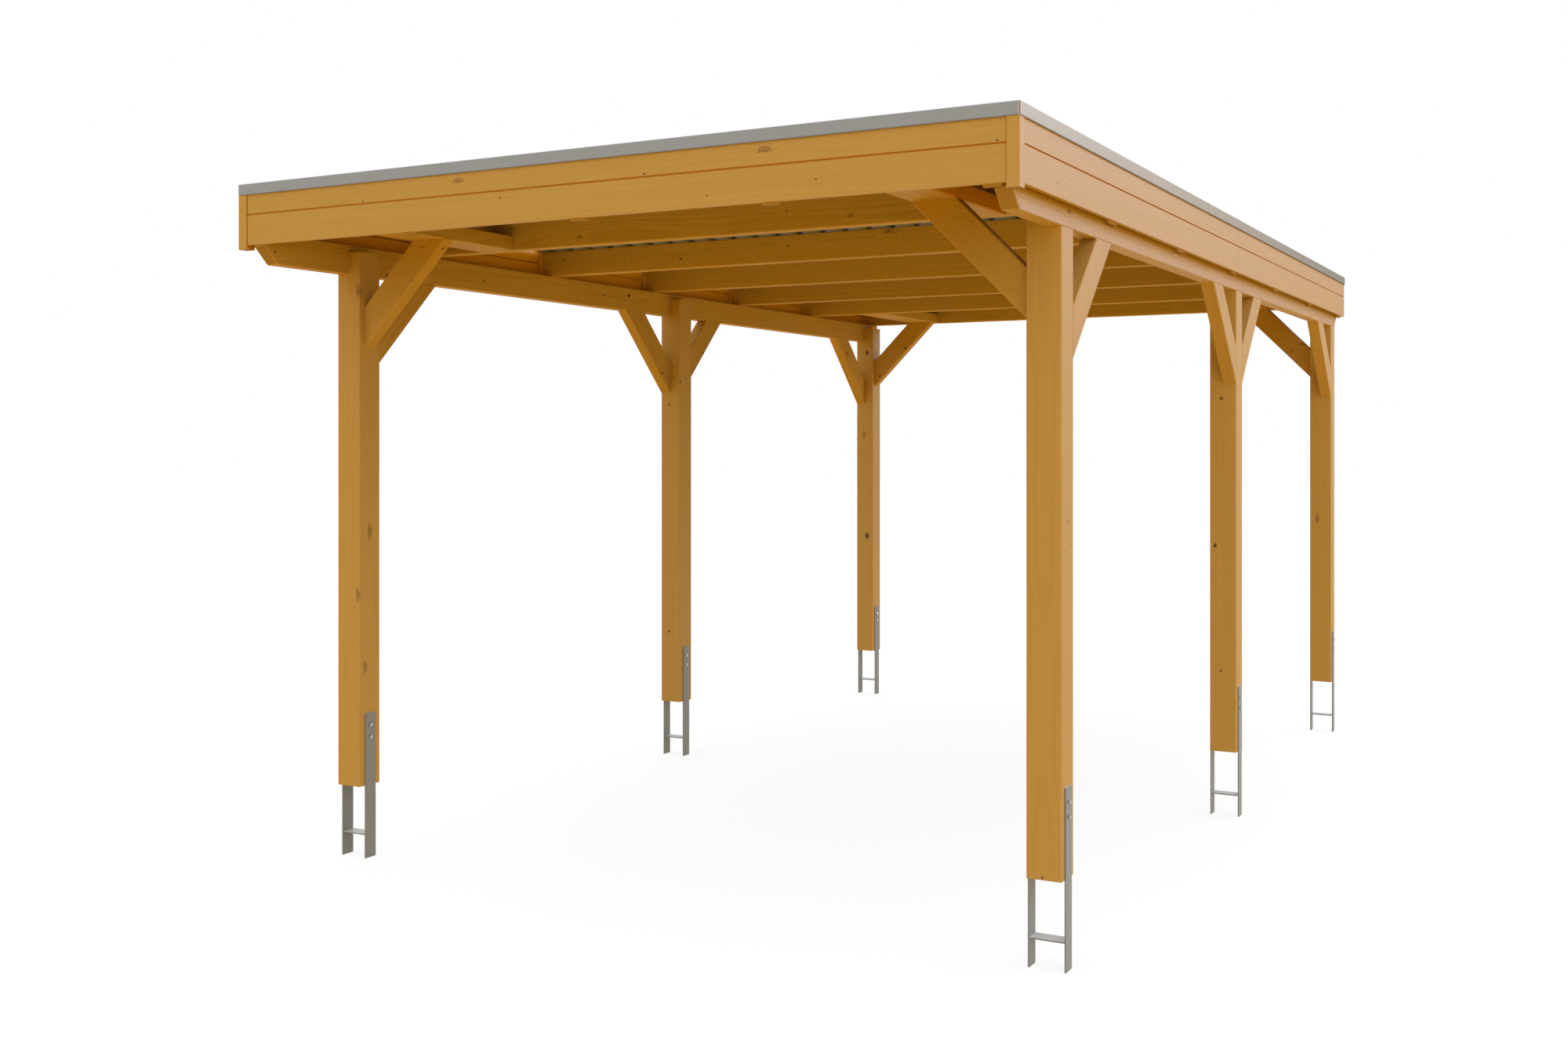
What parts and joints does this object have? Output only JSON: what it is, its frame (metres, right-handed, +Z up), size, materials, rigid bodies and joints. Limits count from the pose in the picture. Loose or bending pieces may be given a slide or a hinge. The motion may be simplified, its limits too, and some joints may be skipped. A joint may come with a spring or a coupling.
{
  "type": "carport",
  "caption": "Free-standing timber carport with braced posts on steel anchors, a boarded fascia on three sides and a flat ribbed metal roof.",
  "frame": {"origin": "centre of the roof plan, at the level of the anchor feet", "axes": "+X to the right seen from the entrance, +Y from the entrance to the rear, +Z up"},
  "size_m": [3.212, 5.676, 2.726],
  "materials": {
    "timber": "planed, stained light oak",
    "boards": "planed, stained light oak",
    "anchor_steel": "hot-dip galvanised",
    "roof_metal": "grey coated sheet",
    "trim_metal": "mill finish, matt"
  },
  "bodies": {
    "root": {"front_left_post": "timber", "front_right_post": "timber", "middle_left_post": "timber", "middle_right_post": "timber", "rear_left_post": "timber", "rear_right_post": "timber", "front_left_anchor": "anchor_steel", "front_right_anchor": "anchor_steel", "middle_left_anchor": "anchor_steel", "middle_right_anchor": "anchor_steel", "rear_left_anchor": "anchor_steel", "rear_right_anchor": "anchor_steel", "left_front_beam": "timber", "left_rear_beam": "timber", "right_front_beam": "timber", "right_rear_beam": "timber", "rafter_1": "timber", "rafter_2": "timber", "rafter_3": "timber", "rafter_4": "timber", "rafter_5": "timber", "rafter_6": "timber", "rafter_7": "timber", "left_side_braces": "timber", "right_side_braces": "timber", "front_cross_braces": "timber", "rear_cross_braces": "timber", "front_trimmers": "timber", "rear_trimmers": "timber", "front_fascia_lower": "boards", "front_fascia_upper": "boards", "left_fascia_lower": "boards", "left_fascia_upper": "boards", "right_fascia_lower": "boards", "right_fascia_upper": "boards", "front_corner_bars": "boards", "front_battens": "boards", "left_battens": "boards", "right_battens": "boards", "left_roof_sheet": "roof_metal", "middle_roof_sheet": "roof_metal", "right_roof_sheet": "roof_metal", "front_trim": "trim_metal", "left_trim": "trim_metal", "right_trim": "trim_metal"}
  },
  "joints": []
}
